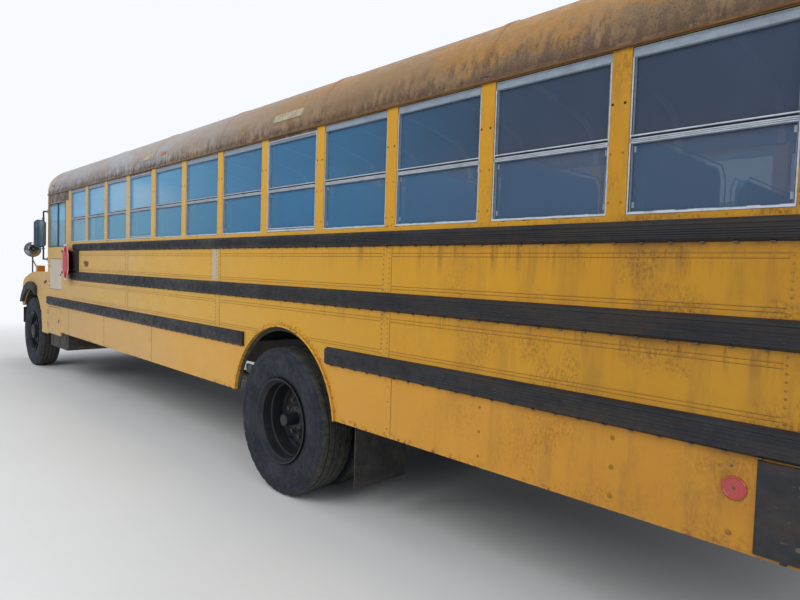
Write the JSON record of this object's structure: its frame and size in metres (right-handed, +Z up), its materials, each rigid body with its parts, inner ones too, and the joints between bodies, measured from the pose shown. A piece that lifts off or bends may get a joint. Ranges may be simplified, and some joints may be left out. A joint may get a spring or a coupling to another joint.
{
  "type": "school bus",
  "caption": "Conventional school bus with a hood ahead of the body, tall windows, black rub rails, dual rear wheels, stop arm and weathered golden paint.",
  "frame": {"origin": "on the ground under the middle of the bus's bounding box", "axes": "+X forward along the bus, +Y to the driver's side, +Z up"},
  "size_m": [11.212, 2.674, 3.0617],
  "materials": {
    "chassis_black": "satin, rusted",
    "cast_iron_grey": "rough",
    "exhaust_steel": "rusted",
    "floor_grey": "ribbed, worn",
    "flap_rubber": "matte",
    "skirt_orange": "sun-faded, rusted in places",
    "body_yellow": "weathered gloss",
    "sash_aluminium": "dull",
    "tinted_glass": "dark tint",
    "rail_black": "satin",
    "roof_tan": "faded, brown rust",
    "door_black": "satin",
    "seat_vinyl": "padded vinyl",
    "seat_steel": "painted",
    "driver_vinyl": "padded vinyl",
    "dash_plastic": "grained",
    "black_plastic": "matte",
    "flare_rubber": "matte",
    "red_lens": "glossy",
    "amber_lens": "glossy",
    "lamp_clear": "clear lens",
    "sign_red": "satin",
    "tyre_black": "worn tread",
    "rim_black": "satin"
  },
  "bodies": {
    "bus_body": {"frame_rails": "chassis_black", "front_axle": "chassis_black", "driveline": "chassis_black", "engine_block": "cast_iron_grey", "fuel_tank": "chassis_black", "exhaust": "exhaust_steel", "floor": "floor_grey", "floor_sills": "chassis_black", "wheelhouses": "floor_grey", "stepwell": "floor_grey", "entrance_frame": "body_yellow", "mud_flaps": "flap_rubber", "skirts": "skirt_orange", "side_left": "body_yellow", "side_right": "body_yellow", "window_posts": "body_yellow", "window_sashes": "sash_aluminium", "body_glass": "tinted_glass", "rub_rails": "rail_black", "roof": "roof_tan", "front_wall": "body_yellow", "rear_wall": "body_yellow", "front_bumper": "rail_black", "rear_bumper": "rail_black", "seat_backs": "seat_vinyl", "seat_cushions": "seat_vinyl", "seat_frames": "seat_steel", "driver_seat": "driver_vinyl", "dashboard": "dash_plastic", "steering_wheel": "black_plastic", "side_mirrors": "black_plastic", "lamps_red": "red_lens", "lamps_amber": "amber_lens", "stop_arm_housing": "black_plastic"},
    "hood": {"hood": "body_yellow", "grille": "black_plastic", "headlamps": "lamp_clear", "wheel_flares": "flare_rubber", "fender_lamps": "amber_lens", "fender_mirrors": "black_plastic"},
    "stop_arm": {"stop_sign": "sign_red"},
    "knuckle_left": {"knuckle_left": "cast_iron_grey"},
    "knuckle_right": {"knuckle_right": "cast_iron_grey"},
    "front_wheel_left": {"tyre_front_left": "tyre_black", "rim_front_left": "rim_black"},
    "front_wheel_right": {"tyre_front_right": "tyre_black", "rim_front_right": "rim_black"},
    "rear_wheels_left": {"tyres_rear_left": "tyre_black", "rims_rear_left": "rim_black"},
    "rear_wheels_right": {"tyres_rear_right": "tyre_black", "rims_rear_right": "rim_black"},
    "tie_rod": {"tie_rod": "chassis_black"},
    "entrance_leaf_front": {"entrance_door_front": "door_black", "entrance_glass_front": "tinted_glass"},
    "entrance_leaf_rear": {"entrance_door_rear": "door_black", "entrance_glass_rear": "tinted_glass"},
    "rear_door": {"rear_door": "body_yellow", "rear_door_glass": "tinted_glass"},
    "battery_door": {"battery_door": "skirt_orange"},
    "electrical_door": {"electrical_door": "body_yellow"}
  },
  "joints": [
    {"name": "steer_left", "type": "hinge", "parent": "bus_body", "child": "knuckle_left", "pos_m": [4.846, 0.846, 0.537], "axis": [0, 0, 1], "range_deg": [-38, 38]},
    {"name": "steer_right", "type": "hinge", "parent": "bus_body", "child": "knuckle_right", "pos_m": [4.846, -0.846, 0.537], "axis": [0, 0, 1], "range_deg": [-38, 38]},
    {"name": "tie_rod_pin", "type": "hinge", "parent": "knuckle_left", "child": "tie_rod", "pos_m": [4.656, 0.846, 0.409], "axis": [0, 0, 1], "range_deg": [-38, 38]},
    {"name": "front_wheel_left_spin", "type": "hinge", "parent": "knuckle_left", "child": "front_wheel_left", "pos_m": [4.846, 1.018, 0.527], "axis": [0, 1, 0], "continuous": true},
    {"name": "front_wheel_right_spin", "type": "hinge", "parent": "knuckle_right", "child": "front_wheel_right", "pos_m": [4.846, -1.018, 0.527], "axis": [0, 1, 0], "continuous": true},
    {"name": "rear_wheels_left_spin", "type": "hinge", "parent": "bus_body", "child": "rear_wheels_left", "pos_m": [-2.164, 0.885, 0.527], "axis": [0, 1, 0], "continuous": true},
    {"name": "rear_wheels_right_spin", "type": "hinge", "parent": "bus_body", "child": "rear_wheels_right", "pos_m": [-2.164, -0.885, 0.527], "axis": [0, 1, 0], "continuous": true},
    {"name": "entrance_front_hinge", "type": "hinge", "parent": "bus_body", "child": "entrance_leaf_front", "pos_m": [3.759, -1.209, 1.38], "axis": [0, 0, 1], "range_deg": [0, 90]},
    {"name": "entrance_rear_hinge", "type": "hinge", "parent": "bus_body", "child": "entrance_leaf_rear", "pos_m": [3.013, -1.209, 1.38], "axis": [0, 0, -1], "range_deg": [0, 90]},
    {"name": "rear_door_hinge", "type": "hinge", "parent": "bus_body", "child": "rear_door", "pos_m": [-5.522, -0.477, 1.78], "axis": [0, 0, 1], "range_deg": [0, 110]},
    {"name": "stop_arm_hinge", "type": "hinge", "parent": "bus_body", "child": "stop_arm", "pos_m": [2.954, 1.235, 1.616], "axis": [0, 0, -1], "range_deg": [0, 83]},
    {"name": "hood_tilt", "type": "hinge", "parent": "bus_body", "child": "hood", "pos_m": [5.49, 0, 0.884], "axis": [0, 1, 0], "range_deg": [0, 60]},
    {"name": "battery_door_hinge", "type": "hinge", "parent": "bus_body", "child": "battery_door", "pos_m": [3.799, 1.206, 0.8], "axis": [0, 0, -1], "range_deg": [0, 110]},
    {"name": "electrical_door_hinge", "type": "hinge", "parent": "bus_body", "child": "electrical_door", "pos_m": [3.723, 1.206, 1.447], "axis": [0, 0, -1], "range_deg": [0, 100]}
  ],
  "couplings": [
    {"joint": "steer_right", "follows": "steer_left", "ratio": 1},
    {"joint": "tie_rod_pin", "follows": "steer_left", "ratio": -1},
    {"joint": "entrance_rear_hinge", "follows": "entrance_front_hinge", "ratio": 1}
  ]
}
